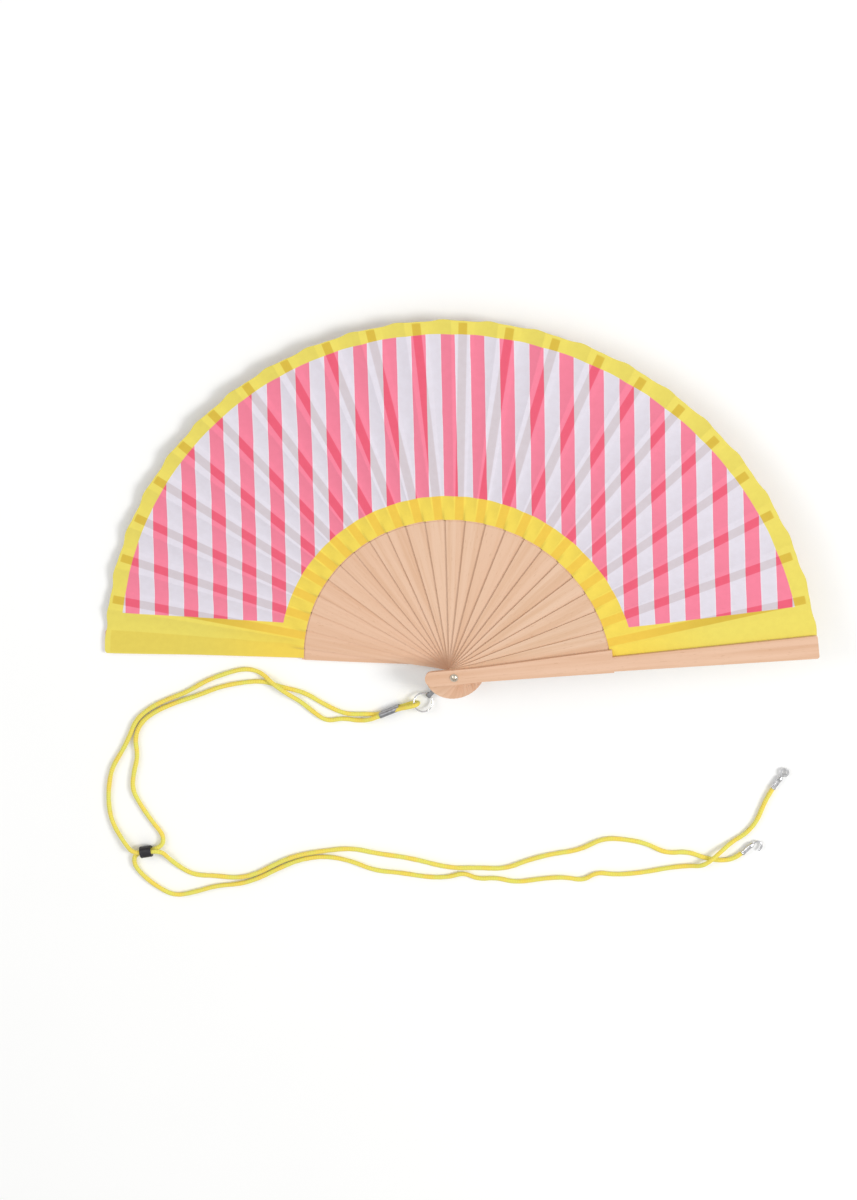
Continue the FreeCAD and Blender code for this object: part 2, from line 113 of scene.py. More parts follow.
# ---- The leaf's pleats ----
# The leaf is glued to the slats. Between two sticks it is folded twice, a quarter of the gap from
# each, so it has a glued panel on each stick and a free panel between them.
FOLD_SHARE = 0.25
FREE_SLOPE = 1.7  # how the free panel's climb is bent, so that it clears the slat above when closed
RELIEF_INNER = 0.0002  # how far a fold lies above or below its stick
RELIEF_OUTER = 0.0008
SHOULDER_END = 0.0936  # inside this radius the leaf has to step up over the next rib's shoulder
RELAXED = 0.1020  # from this radius out the pleats have their full form
STEP_SHARES = (0.16, 0.325)  # the part of a gap in which the leaf climbs over a shoulder
WIDEST_FLAT = 0.2  # the most of a gap that lies flat on a stick
SCALLOP = 0.0005  # how far the folds draw the outer edge in and out
SCALLOP_START = 0.195  # the radius at which that begins
SCALLOP_PEAK = 0.65  # about the share of a gap at which the edge lies furthest out
COLUMNS = (0.0, 0.06, 0.12, 0.18, 0.215, 0.24, 0.25, 0.26, 0.285, 0.335, 0.42, 0.5, 0.58, 0.665,
           0.715, 0.74, 0.75, 0.76, 0.785, 0.82, 0.88, 0.94, 1.0)
ROWS = 56  # columns are shares of a gap, and rows run along the radius
ROW_CROWDING = 0.045  # how much closer together the rows are near both edges
GUARD_SHOWS = 1.015  # the least distance, in half widths, that the map gives over a guard
PUCKER = 0.00005  # how uneven the free panels are
RELIEF_OF_FOLD = [random.uniform(0.65, 1.25) for _ in range(LAST_STICK)]  # no two folds are alike
RIDGE_ROOM = {LAST_STICK - 2: 0.0004, LAST_STICK - 1: 0.0}  # the folds that lie under the front guard

# ---- The braid ----
PLAITS_ROUND = 4
PLAIT_LENGTH = 0.0030
PLAIT_RELIEF = 0.07  # as a share of the cord's radius
BRAID_STEP = 0.00048  # between two rings of points along a cord
BRAID_SIDES = 22

# ---- The lanyard, as in the CAD source ----
CORD_DIAMETER = 0.0028
RING_MEAN_RADIUS = 0.00555
RING_WIRE = 0.0009
RING_SQUARENESS = 0.8  # 1 would make the wire's section round, and less makes it squarer
CRIMP_ANGLE = 204.0
CRIMP_SIZE = (0.0128, 0.0034, 0.0063)  # length, width and height
CRIMP_WALL = 0.00025
PINCH_SHARES = (0.3, 0.7)  # where along the crimp it is pinched
PINCH_WIDTH = 0.055
BEAD_ANGLE = 11.0
BEAD_LENGTH = 0.0072
BEAD_DIAMETER = 0.0072
BEAD_SLOT = (0.0031, 0.0060)  # width and height
HOOK_ANGLE = 45.0
EYE_ANGLE = 57.0
HOOK_MOUTH = (0.1693, -0.1151, 0.0018)
EYE_MOUTH = (0.1866, -0.0732, 0.0018)
FERRULE_LENGTH = 0.0075
FERRULE_NOSE = 0.0016
FERRULE_RADIUS = 0.00175
FERRULE_NOSE_RADIUS = 0.0012

# ---- How finely the lanyard's pieces are built ----
RING_SIDES = 16
RING_TURN_STEPS = 72
CRIMP_STATIONS = 33
CRIMP_SIDES = 48
BEAD_SIDES = 64
FERRULE_SIDES = 48

# ---- The cords' routes, as in the CAD source ----
ROUTE_A = [
    (-0.0298, -0.0264, 0.00145), (-0.0241, -0.0246, 0.00145), (-0.0241, -0.0246, 0.0076),
    (-0.0296, -0.0262, 0.0076), (-0.0360, -0.0284, 0.0046), (-0.0478, -0.0336, 0.0046),
    (-0.0540, -0.0364, 0.0039), (-0.0610, -0.0376, 0.00145), (-0.0700, -0.0363, 0.00145),
    (-0.0795, -0.0387, 0.00145), (-0.0880, -0.0324, 0.00145), (-0.0945, -0.0268, 0.00145),
    (-0.1015, -0.0212, 0.0049), (-0.1105, -0.0152, 0.0049), (-0.1185, -0.0083, 0.00145),
    (-0.1280, -0.0064, 0.00145), (-0.1400, -0.0100, 0.00145), (-0.1520, -0.0150, 0.00145),
    (-0.1635, -0.0224, 0.00145), (-0.1745, -0.0268, 0.00145), (-0.1860, -0.0326, 0.00145),
    (-0.1955, -0.0410, 0.00145), (-0.1998, -0.0520, 0.00145), (-0.2050, -0.0620, 0.00145),
    (-0.2112, -0.0720, 0.00145), (-0.2138, -0.0840, 0.00145), (-0.2144, -0.0960, 0.00145),
    (-0.2126, -0.1080, 0.00145), (-0.2048, -0.1212, 0.0030), (-0.1990, -0.1267, 0.00505),
    (-0.1828, -0.1235, 0.00505), (-0.1780, -0.1297, 0.0030), (-0.1710, -0.1362, 0.00145),
    (-0.1625, -0.1406, 0.00145), (-0.1500, -0.1406, 0.00145), (-0.1360, -0.1418, 0.00145),
    (-0.1240, -0.1384, 0.00145), (-0.1110, -0.1306, 0.00145), (-0.0985, -0.1253, 0.00145),
    (-0.0840, -0.1223, 0.00145), (-0.0660, -0.1196, 0.00145), (-0.0500, -0.1229, 0.00145),
    (-0.0300, -0.1250, 0.00145), (-0.0060, -0.1310, 0.00145), (0.0110, -0.1299, 0.00145),
    (0.0270, -0.1303, 0.00145), (0.0410, -0.1240, 0.00145), (0.0560, -0.1194, 0.00145),
    (0.0720, -0.1166, 0.00145), (0.0860, -0.1084, 0.00145), (0.0990, -0.1086, 0.00145),
    (0.1120, -0.1108, 0.00145), (0.1240, -0.1170, 0.00145), (0.1370, -0.1152, 0.00145),
    (0.1480, -0.1196, 0.00145), (0.1595, -0.1206, 0.00145), (0.1672, -0.1172, 0.0018),
    (0.17284, -0.11156, 0.0018),
]
ROUTE_B = [
    (-0.0298, -0.0264, 0.00145), (-0.0360, -0.02836, 0.0017), (-0.0478, -0.0336, 0.0017),
    (-0.0550, -0.0332, 0.00145), (-0.0680, -0.0340, 0.00145), (-0.0810, -0.0278, 0.00145),
    (-0.0930, -0.0203, 0.00145), (-0.1060, -0.0178, 0.00145), (-0.1170, -0.0140, 0.00145),
    (-0.1300, -0.0154, 0.00145), (-0.1440, -0.0186, 0.00145), (-0.1570, -0.0244, 0.00145),
    (-0.1700, -0.0290, 0.00145), (-0.1830, -0.0350, 0.00145), (-0.1926, -0.0426, 0.00145),
    (-0.1966, -0.0530, 0.00145), (-0.1950, -0.0640, 0.00145), (-0.1982, -0.0755, 0.00145),
    (-0.1994, -0.0860, 0.00145), (-0.1944, -0.0960, 0.00145), (-0.1876, -0.1068, 0.00145),
    (-0.1806, -0.1156, 0.0016), (-0.1828, -0.1235, 0.00215), (-0.1990, -0.1267, 0.00215),
    (-0.2003, -0.1348, 0.00145), (-0.1946, -0.1422, 0.00145), (-0.1860, -0.1492, 0.00145),
    (-0.1755, -0.1548, 0.00145), (-0.1630, -0.1518, 0.00145), (-0.1490, -0.1470, 0.00145),
    (-0.1350, -0.1456, 0.00145), (-0.1235, -0.1416, 0.00145), (-0.1100, -0.1340, 0.00145),
    (-0.0970, -0.1280, 0.00145), (-0.0820, -0.1254, 0.00145), (-0.0670, -0.1278, 0.00145),
    (-0.0520, -0.1340, 0.00145), (-0.0360, -0.1348, 0.00145), (-0.0200, -0.1372, 0.00145),
    (-0.0070, -0.1368, 0.00145), (0.0020, -0.1334, 0.00145), (0.0110, -0.1374, 0.00145),
    (0.0220, -0.1360, 0.00145), (0.0340, -0.1388, 0.00145), (0.0490, -0.1358, 0.00145),
    (0.0630, -0.1342, 0.00145), (0.0745, -0.1362, 0.00145), (0.0825, -0.1304, 0.00145),
    (0.0940, -0.1318, 0.00145), (0.1100, -0.1298, 0.00145), (0.1260, -0.1260, 0.00145),
    (0.1375, -0.1244, 0.00145), (0.1465, -0.1232, 0.0049), (0.1550, -0.1154, 0.0049),
    (0.1625, -0.1086, 0.00145), (0.1710, -0.1030, 0.00145), (0.1774, -0.0950, 0.00145),
    (0.1810, -0.0848, 0.00145), (0.18497, -0.07572, 0.0018), (0.18932, -0.06901, 0.0018),
]


# ---- The camera, fitted to the photo ----
CAMERA_PLACE = (0.17744, 0.60543, 1.77522)
CAMERA_TURN = (-17.678, 6.082, -0.594)
CAMERA_LENS = 95.46


def add_camera():
    camera = bpy.data.cameras.new("camera")
    camera.lens = CAMERA_LENS
    camera.sensor_width = 36.0
    camera.clip_start = 0.05
    camera.clip_end = 20.0
    stand = bpy.data.objects.new("camera", camera)
    stand.location = CAMERA_PLACE
    stand.rotation_euler = Euler([math.radians(angle) for angle in CAMERA_TURN], "XYZ")
    bpy.context.scene.collection.objects.link(stand)
    bpy.context.scene.camera = stand


# ---- Helpers for meshes ----
def polar(radius, angle, z=0.0):
    turn = math.radians(angle)
    return Vector((radius * math.cos(turn), radius * math.sin(turn), z))


def smooth_step(value, low, high):
    t = min(1.0, max(0.0, (value - low) / (high - low)))
    return t * t * (3 - 2 * t)


def mix(a, b, share):
    return a + (b - a) * share


def mesh_piece(name, points, faces, flat_faces=()):
    """A mesh object, smooth shaded apart from the listed faces."""
    mesh = bpy.data.meshes.new(name)
    mesh.from_pydata([tuple(p) for p in points], [], faces)
    flat = set(flat_faces)
    mesh.polygons.foreach_set("use_smooth", [index not in flat for index in range(len(faces))])
    mesh.update()
    piece = bpy.data.objects.new(name, mesh)
    bpy.context.scene.collection.objects.link(piece)
    return piece


def add_uv(piece, name, values):
    """A UV map from one pair of numbers per vertex."""
    layer = piece.data.uv_layers.new(name=name)
    corners = np.empty(len(piece.data.loops), np.int32)
    piece.data.loops.foreach_get("vertex_index", corners)
    layer.data.foreach_set("uv", np.array(values, np.float32)[corners].ravel())


def sharpen(piece, angle):
    """Edges that bend by more than the angle stay crisp in smooth shading."""
    piece.data.set_sharp_from_angle(angle=math.radians(angle))


def tube_rings(rings, closed_ends=True):
    """The points and faces of a skin over rings that all have the same number of points."""
    count = len(rings[0])
    points = [p for ring in rings for p in ring]
    faces = []
    for row in range(len(rings) - 1):
        for column in range(count):
            step = (column + 1) % count
            low, high = row * count, (row + 1) * count
            faces.append((low + column, low + step, high + step, high + column))
    if closed_ends:
        faces.append(tuple(reversed(range(count))))
        faces.append(tuple((len(rings) - 1) * count + column for column in range(count)))
    return points, faces


def hollow_piece(name, rings):
    """A piece whose skin runs over the rings and back to the first, as on a tube with a lining."""
    points, faces = tube_rings(rings + [rings[0]], closed_ends=False)
    total = len(rings) * len(rings[0])
    faces = [tuple(index % total for index in face) for face in faces]
    return mesh_piece(name, points[:total], faces)


def round_ring(x, radius, count):
    """A ring of points round the X axis."""
    turns = [2 * math.pi * index / count for index in range(count)]
    return [Vector((x, radius * math.cos(turn), radius * math.sin(turn))) for turn in turns]


def place(piece, position, angle):
    """Turns a piece about Z and moves it, in its mesh, so that its object stays at the origin."""
    spin = Euler((0, 0, math.radians(angle)), "XYZ").to_matrix().to_4x4()
    spin.translation = Vector(position)
    piece.data.transform(spin)
    piece.data.update()
    return piece


def middle(node):
    low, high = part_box(node)
    return (low + high) / 2


# ---- Helpers for materials ----
class Material:
    """A node material. Each method adds a node and gives back its output socket."""

    def __init__(self, name):
        self.material = bpy.data.materials.new(name)
        self.material.use_nodes = True
        self.tree = self.material.node_tree
        self.shader = self.tree.nodes["Principled BSDF"]

    def node(self, kind, **settings):
        made = self.tree.nodes.new(kind)
        for key, value in settings.items():
            setattr(made, key, value)
        return made

    def plug(self, socket, value):
        if isinstance(value, bpy.types.NodeSocket):
            self.tree.links.new(value, socket)
        else:
            socket.default_value = value

    def math(self, operation, *values):
        made = self.node("ShaderNodeMath", operation=operation)
        for socket, value in zip(made.inputs, values):
            self.plug(socket, value)
        return made.outputs[0]

    def vector_math(self, operation, *values):
        made = self.node("ShaderNodeVectorMath", operation=operation)
        for socket, value in zip(made.inputs, values):
            self.plug(socket, value)
        return made.outputs["Value" if operation == "LENGTH" else "Vector"]

    def ramp(self, value, low, high, start=0.0, end=1.0):
        """value taken from low..high to start..end, held at both ends."""
        made = self.node("ShaderNodeMapRange", interpolation_type="SMOOTHSTEP")
        for socket, number in zip(made.inputs, (value, low, high, start, end)):
            self.plug(socket, number)
        return made.outputs[0]

    def colour_mix(self, share, first, second, blend="MIX"):
        made = self.node("ShaderNodeMix", data_type="RGBA", blend_type=blend)
        self.plug(made.inputs["Factor"], share)
        self.plug(made.inputs[6], first)
        self.plug(made.inputs[7], second)
        return made.outputs[2]

    def noise(self, vector, scale, detail=3.0, roughness=0.55):
        made = self.node("ShaderNodeTexNoise")
        self.plug(made.inputs["Vector"], vector)
        made.inputs["Scale"].default_value = scale
        made.inputs["Detail"].default_value = detail
        made.inputs["Roughness"].default_value = roughness
        return made.outputs[0]

    def object_place(self, angle=0.0, shift=(0.0, 0.0, 0.0)):
        """The place on the piece, turned back by an angle about Z and then shifted."""
        mapping = self.node("ShaderNodeMapping", vector_type="TEXTURE")
        self.plug(mapping.inputs["Vector"], self.node("ShaderNodeTexCoord").outputs["Object"])
        mapping.inputs["Rotation"].default_value = (0, 0, math.radians(angle))
        return self.vector_math("ADD", mapping.outputs[0], shift)

    def map_place(self, name):
        return self.node("ShaderNodeUVMap", uv_map=name).outputs[0]

    def split(self, vector):
        made = self.node("ShaderNodeSeparateXYZ")
        self.plug(made.inputs[0], vector)
        return made.outputs

    def join(self, x, y, z):
        made = self.node("ShaderNodeCombineXYZ")
        for socket, value in zip(made.inputs, (x, y, z)):
            self.plug(socket, value)
        return made.outputs[0]

    def bump(self, height, strength, distance):
        made = self.node("ShaderNodeBump")
        made.inputs["Strength"].default_value = strength
        made.inputs["Distance"].default_value = distance
        self.plug(made.inputs["Height"], height)
        self.plug(self.shader.inputs["Normal"], made.outputs[0])

    def set(self, **sockets):
        """Sets the shader's inputs, which are named with _ for a space."""
        for key, value in sockets.items():
            self.plug(self.shader.inputs[key.replace("_", " ")], value)


def rgb(code):
    """A linear colour from a six-digit sRGB code."""
    parts = [int(code[start:start + 2], 16) / 255 for start in (0, 2, 4)]
    return tuple(
        part / 12.92 if part <= 0.04045 else ((part + 0.055) / 1.055) ** 2.4 for part in parts
    ) + (1.0,)


# ---- Materials ----
def wood(name, angle, seed, rosy):
    """Pale beech with its grain along a stick, and the short dark flecks of beech. rosy is 1 for the
    pinkest wood and 0 for the palest."""
    m = Material(name)
    along = m.object_place(angle, (seed * 0.37, seed * 0.113, 0.0))
    grain = m.noise(m.vector_math("MULTIPLY", along, (9.0, 260.0, 260.0)), 1.0, 5.0, 0.6)
    figure = m.noise(m.vector_math("MULTIPLY", along, (4.0, 46.0, 46.0)), 1.0, 2.0, 0.5)
    fleck = m.noise(m.vector_math("MULTIPLY", along, (260.0, 2600.0, 2600.0)), 1.0, 1.0, 0.4)
    pale = m.colour_mix(rosy, rgb("E4C3A8"), rgb("E6BDA0"))
    deep = m.colour_mix(rosy, rgb("D8B292"), rgb("DBAE8E"))
    tone = m.colour_mix(m.ramp(grain, 0.36, 0.68), pale, deep)
    blush = m.colour_mix(m.ramp(figure, 0.35, 0.7, 0.0, 0.45), tone, rgb("E0B698"))
    fleck_share = m.ramp(fleck, 0.67, 0.76, 0.0, 0.35)
    m.set(Base_Color=m.colour_mix(fleck_share, blush, rgb("B98A66")))
    m.set(Roughness=m.ramp(grain, 0.3, 0.7, 0.46, 0.6), Specular_IOR_Level=0.35)
    m.bump(m.math("ADD", grain, m.math("MULTIPLY", fleck, 0.6)), 0.25, 0.0002)
    return m.material


def leaf_cloth(name, reverse):
    """Printed cotton. The stripes and the border follow the flat cloth, which is one of the leaf's
    maps, and the other map says how far a point is from the stick behind it, in half widths. From
    that map the material paints shade where a slat behind the thin cloth stops light coming through."""
    m = Material(name)
    x, y, _ = m.split(m.map_place("cloth"))
    across, radius, _ = m.split(m.map_place("stick"))
    flat = m.join(x, y, 0.0)

    wobble = m.math("MULTIPLY", m.math("SUBTRACT", m.noise(flat, 60.0, 2.0), 0.5), PRINT_WOBBLE)
    from_start = m.math("SUBTRACT", m.math("ADD", x, wobble), STRIPE_START)
    turns = m.math("FRACT", m.math("DIVIDE", from_start, STRIPE_PERIOD))
    into = m.math("MULTIPLY", turns, STRIPE_PERIOD)
    half = PINK_WIDTH / 2
    from_middle = m.math("ABSOLUTE", m.math("SUBTRACT", into, half))
    pink = m.ramp(from_middle, half - STRIPE_BLUR, half + STRIPE_BLUR, 1.0, 0.0)
    past_pink = m.math("SUBTRACT", into, PINK_WIDTH)
    before_pink = m.math("SUBTRACT", STRIPE_PERIOD, into)
    edge_gap = m.math("MINIMUM", past_pink, before_pink)
    rim = m.ramp(edge_gap, STRIPE_RIM * 0.6, STRIPE_RIM * 1.5, 0.6, 0.0)

    reach = m.vector_math("LENGTH", flat)
    ragged = m.math("ADD", reach, wobble)
    past_inner = m.ramp(ragged, PRINT_INNER - PRINT_BLUR, PRINT_INNER + PRINT_BLUR)
    before_outer = m.ramp(ragged, PRINT_OUTER - PRINT_BLUR, PRINT_OUTER + PRINT_BLUR, 1.0, 0.0)
    left_foot, right_foot = [
        m.math("ADD", m.math("MULTIPLY", x, slope), height)
        for slope, height in (PRINT_FOOT_LEFT, PRINT_FOOT_RIGHT)
    ]
    above = m.math("SUBTRACT", y, m.math("MAXIMUM", left_foot, right_foot))
    inside = m.math("MULTIPLY", past_inner, before_outer)
    printed = m.math("MULTIPLY", inside, m.ramp(above, -PRINT_BLUR, PRINT_BLUR))

    # Painted shade: the cloth is darker where a slat lies behind it, out to the slat's end, as the slat
    # stops light passing through the thin cloth.
    painted_slat_shade = m.math("MULTIPLY", m.ramp(across, 0.86, 1.12, 1.0, 0.0),
                         m.ramp(radius, SLAT_REACH - 0.0006, SLAT_REACH + 0.0004, 1.0, 0.0))
    inner_share = m.ramp(reach, 0.1, 0.16, 1.0, 0.0)

    border = m.colour_mix(inner_share, rgb("E8D863"), rgb("F0D656"))
    border_under_slat_shade = m.colour_mix(inner_share, rgb("D7B841"), rgb("EDC64A"))
    yellow = m.colour_mix(painted_slat_shade, border, border_under_slat_shade)
    pink_tone = m.colour_mix(painted_slat_shade, rgb("F2829B"), rgb("E95E77"))
    pale_tone = m.colour_mix(rim, rgb("DFDAE4"), rgb("EBE4EC"))
    white_tone = m.colour_mix(painted_slat_shade, pale_tone, rgb("D1C7CD"))
    stripes = m.colour_mix(pink, white_tone, pink_tone)
    shade = m.colour_mix(printed, yellow, stripes)
    mottle = m.ramp(m.noise(flat, 240.0, 4.0), 0.3, 0.7, 0.0, 0.06)
    shade = m.colour_mix(mottle, shade, rgb("B9A08A"), "MULTIPLY")
    if reverse:
        shade = m.colour_mix(0.45, shade, rgb("F3EEE2"))
    m.set(Base_Color=shade)

    threads = [m.math("SINE", m.math("MULTIPLY", way, 2 * math.pi / THREAD_PITCH)) for way in (x, y)]
    weave = m.math("MULTIPLY", *threads)
    slub = m.noise(flat, 900.0, 2.0)
    m.bump(m.math("ADD", weave, m.math("MULTIPLY", slub, 1.5)), 0.22, 0.00006)
    m.set(Roughness=m.ramp(slub, 0.3, 0.7, 0.78, 0.9), Specular_IOR_Level=0.25)
    m.set(Sheen_Weight=0.25, Sheen_Roughness=0.5)
    return m.material


def braid(name):
    """Soft yellow braid. The cord's map holds the length along it and the turn round it."""
    m = Material(name)
    along, around, _ = m.split(m.map_place("braid"))
    place_on = m.join(along, m.math("MULTIPLY", around, 0.004), 0.0)
    drift = m.noise(m.join(along, 0.0, 0.0), 75.0, 2.0)
    warm = m.colour_mix(m.ramp(drift, 0.4, 0.6), rgb("EAE46C"), rgb("F6DC62"))
    fibre = m.noise(m.vector_math("MULTIPLY", place_on, (1.0, 2.2, 1.0)), 2600.0, 2.0)
    fine = m.colour_mix(m.ramp(fibre, 0.35, 0.75, 0.0, 0.3), warm, rgb("CFBE3C"))
    plait = m.math("MULTIPLY", *plait_waves(m, along, around))
    # Painted shade: the braid's colour darkens in the hollows between its plaits.
    m.set(Base_Color=m.colour_mix(m.ramp(plait, -0.9, -0.1, 0.3, 0.0), fine, rgb("B99F2E")))
    m.set(Roughness=0.85, Specular_IOR_Level=0.2, Sheen_Weight=0.35, Sheen_Roughness=0.4)
    m.bump(fibre, 0.3, 0.0001)
    return m.material


def plait_waves(m, along, around):
    """The two crossing helices of the braid, as cosines."""
    turn = m.math("MULTIPLY", around, 2 * math.pi * PLAITS_ROUND)
    run = m.math("MULTIPLY", along, 2 * math.pi / PLAIT_LENGTH)
    return (m.math("COSINE", m.math("ADD", turn, run)),
            m.math("COSINE", m.math("SUBTRACT", turn, run)))


def plated_metal(name, colour, dark, roughness):
    """Plated metal with soft scratches and a little tarnish in patches."""
    m = Material(name)
    at = m.object_place()
    tarnish = m.noise(at, 420.0, 4.0)
    scratch = m.noise(m.vector_math("MULTIPLY", at, (500.0, 3200.0, 700.0)), 1.0, 3.0)
    m.set(Metallic=1.0)
    m.set(Base_Color=m.colour_mix(m.ramp(tarnish, 0.4, 0.75, 0.0, 0.6), rgb(colour), rgb(dark)))
    m.set(Roughness=m.ramp(scratch, 0.3, 0.75, roughness, roughness + 0.12))
    m.bump(scratch, 0.05, 0.00001)
    return m.material


def moulded_plastic(name):
    m = Material(name)
    at = m.object_place()
    grain = m.noise(at, 3200.0, 2.0)
    wear = m.noise(at, 300.0, 3.0)
    m.set(Base_Color=m.colour_mix(m.ramp(wear, 0.45, 0.8, 0.0, 0.5), rgb("1F1C22"), rgb("3A3640")))
    m.set(Roughness=m.ramp(grain, 0.3, 0.7, 0.32, 0.46), Specular_IOR_Level=0.5)
    m.bump(grain, 0.18, 0.00003)
    return m.material


def backdrop(name):
    m = Material(name)
    at = m.object_place()
    m.set(Base_Color=m.colour_mix(m.noise(at, 6.0), rgb("F9F9F8"), rgb("FCFCFB")))
    m.set(Roughness=0.9, Specular_IOR_Level=0.1)
    return m.material


# ---- Cords ----
def smooth_line(name, route):
    """The route's own NURBS curve, read back as points."""
    curve = bpy.data.curves.new(name, "CURVE")
    curve.dimensions = "3D"
    curve.resolution_u = 24
    spline = curve.splines.new("NURBS")
    spline.points.add(len(route) - 1)
    for corner, spot in zip(spline.points, route):
        corner.co = (*spot, 1.0)
    spline.order_u = 3
    spline.use_endpoint_u = True
    holder = bpy.data.objects.new(name, curve)
    mesh = bpy.data.meshes.new_from_object(holder)
    line = np.array([tuple(v.co) for v in mesh.vertices])
    bpy.data.objects.remove(holder)
    bpy.data.meshes.remove(mesh)
    bpy.data.curves.remove(curve)
    return line


def spaced(line, step):
    """The same line with its points evenly spaced, and their distances from its start."""
    lengths = np.linalg.norm(np.diff(line, axis=0), axis=1)
    reached = np.concatenate([[0.0], np.cumsum(lengths)])
    at = np.linspace(0.0, reached[-1], int(round(reached[-1] / step)) + 1)
    return np.stack([np.interp(at, reached, line[:, k]) for k in range(3)], axis=1), at


def frames_along(line):
    """Two directions across a line at each of its points, which don't twist about it."""
    ahead = np.gradient(line, axis=0)
    ahead /= np.linalg.norm(ahead, axis=1)[:, None]
    side = np.cross(ahead[0], (0.0, 0.0, 1.0))
    side /= np.linalg.norm(side)
    sides = []
    for direction in ahead:
        side = side - direction * side.dot(direction)
        side = side / np.linalg.norm(side)
        sides.append(side)
    sides = np.array(sides)
    return sides, np.cross(ahead, sides)


def braided_cord(name, route, material):
    """A mesh tube along the route's curve, whose surface rises over each plait of the braid."""
    line, at = spaced(smooth_line(name, route), BRAID_STEP)
    side, up = frames_along(line)
    rings = []
    for index, (centre, reached) in enumerate(zip(line, at)):
        run = 2 * math.pi * reached / PLAIT_LENGTH
        softness = 0.025 * math.sin(reached * 410.0) + 0.02 * math.sin(reached * 1130.0 + 1.0)
        ring = []
        for corner in range(BRAID_SIDES):
            turn = 2 * math.pi * corner / BRAID_SIDES
            wave = math.cos(PLAITS_ROUND * turn + run) * math.cos(PLAITS_ROUND * turn - run)
            radius = CORD_DIAMETER / 2 * (0.95 + softness + PLAIT_RELIEF * wave)
            ring.append(centre + radius * (side[index] * math.cos(turn) + up[index] * math.sin(turn)))
        rings.append(ring)
    piece = mesh_piece(name, *tube_rings(rings))
    layer = piece.data.uv_layers.new(name="braid")
    for polygon in piece.data.polygons:
        corners = [piece.data.loops[loop].vertex_index for loop in polygon.loop_indices]
        turns = [(corner % BRAID_SIDES) / BRAID_SIDES for corner in corners]
        if max(turns) - min(turns) > 0.5:
            turns = [turn + 1.0 if turn < 0.5 else turn for turn in turns]
        for loop, corner, turn in zip(polygon.loop_indices, corners, turns):
            layer.data[loop].uv = (at[corner // BRAID_SIDES], turn)
    piece.data.materials.append(material)
    return piece, line


# ---- The leaf's outline and folds ----
def outer_reach(angle):
    """The leaf's outer edge, which was cut by hand and isn't quite round."""
    return LEAF_OUTER + OUTER_SWAY * math.cos(math.radians(2 * (angle - OUTER_SWAY_PEAK)))


def guard_reach(angle):
    """The outer edge over the back guard's tip, which is the same at every angle."""
    return STICK_REACH + TIP_LAP


def gap_reach(angle):
    """The outer edge of the gap pieces, drawn out over the back guard's tip."""
    over_tip = smooth_step(angle, TIP_ANGLE, BACK_GUARD_ANGLE)
    return mix(outer_reach(angle), guard_reach(angle), over_tip)


def flat_place(radius, angle):
    """Where a point of the pleated leaf lay on the flat cloth, before the pleats took up width.
    A cubic gives its angle there, and t runs from about -1 to 1 over the fan."""
    t = (angle - 90.0) / 80.0
    turned = angle + 3.665 * t - 0.085 * t * t - 1.315 * t ** 3 - 0.797
    spot = polar(radius, turned)
    return spot.x, spot.y


def half_width(stick, radius):
    """Half the width of the slat or blade under the leaf."""
    if stick in (0, LAST_STICK):
        t = (radius - BLADE_START[0]) / (BLADE_END[0] - BLADE_START[0])
        return mix(BLADE_START[1], BLADE_END[1], max(0.0, t)) / 2
    return SLAT_WIDTH / 2


def blade_shift(stick, radius):
    """How far the middle of the blade lies outside the stick's own centreline."""
    if stick != 0:
        return 0.0
    return math.tan(math.radians(BACK_BLADE_TURN)) * (radius - BACK_BLADE_CENTRE)


def behind_map(stick, outside, radius):
    """Where a point lies over its stick, for the painted shade of the sticks behind the cloth. The
    guards are thick and pale and hardly show through, so that shade stays weak over them."""
    across = abs(outside - blade_shift(stick, radius)) / half_width(stick, radius)
    if stick in (0, LAST_STICK):
        across = max(across, GUARD_SHOWS)
    return across, radius


def leaf_height(stick):
    """The leaf's underside at a stick, from the CAD panel that is glued to it."""
    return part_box(f"leaf_panel_{stick + 1:02d}")[0].z


def relaxed_share(radius):
    """0 where the leaf steps over the next rib's shoulder, 1 where the pleats have their full form."""
    return smooth_step(radius, SHOULDER_END, RELAXED)


def gap_width(gap_index, radius):
    """The distance along the arc from one stick's centreline to the next."""
    return math.radians(STICK_ANGLES[gap_index] - STICK_ANGLES[gap_index + 1]) * radius


def fold_relief(gap_index, radius):
    """How far the valley fold dips below its stick, and how far the ridge fold rises above its own."""
    outward = max(0.0, (radius - SHOULDER_END) / (TIP_RADIUS - SHOULDER_END))
    full_relief = mix(RELIEF_INNER, RELIEF_OUTER, outward) * RELIEF_OF_FOLD[gap_index]
    relief = relaxed_share(radius) * full_relief
    valley = 0.0 if gap_index == 0 else relief
    ridge = min(relief, RIDGE_ROOM.get(gap_index, relief))
    return valley, ridge


def surface_height(gap_index, share, radius):
    """The underside of the leaf, at a share of the way from one stick to the next."""
    low, high = leaf_height(gap_index), leaf_height(gap_index + 1)
    valley, ridge = fold_relief(gap_index, radius)
    gap = gap_width(gap_index, radius)
    first_flat = min(WIDEST_FLAT, half_width(gap_index, radius) / gap)
    last_flat = min(WIDEST_FLAT, half_width(gap_index + 1, radius) / gap)
    if share <= FOLD_SHARE:
        loose = low - valley * max(0.0, (share - first_flat) / (FOLD_SHARE - first_flat))
    elif share >= 1 - FOLD_SHARE:
        loose = high + ridge * max(0.0, (1 - share - last_flat) / (FOLD_SHARE - last_flat))
    else:
        t = (share - FOLD_SHARE) / (1 - 2 * FOLD_SHARE)
        loose = mix(low - valley, high + ridge, t ** FREE_SLOPE)
    tight = mix(low, high, smooth_step(share, *STEP_SHARES))
    return mix(tight, loose, relaxed_share(radius))


def pucker(angle, radius):
    """Slight unevenness of cloth between its glued lines."""
    wave = math.sin(radius * 310.0 + angle * 0.9) + 0.6 * math.sin(radius * 140.0 - angle * 2.3)
    return PUCKER * wave


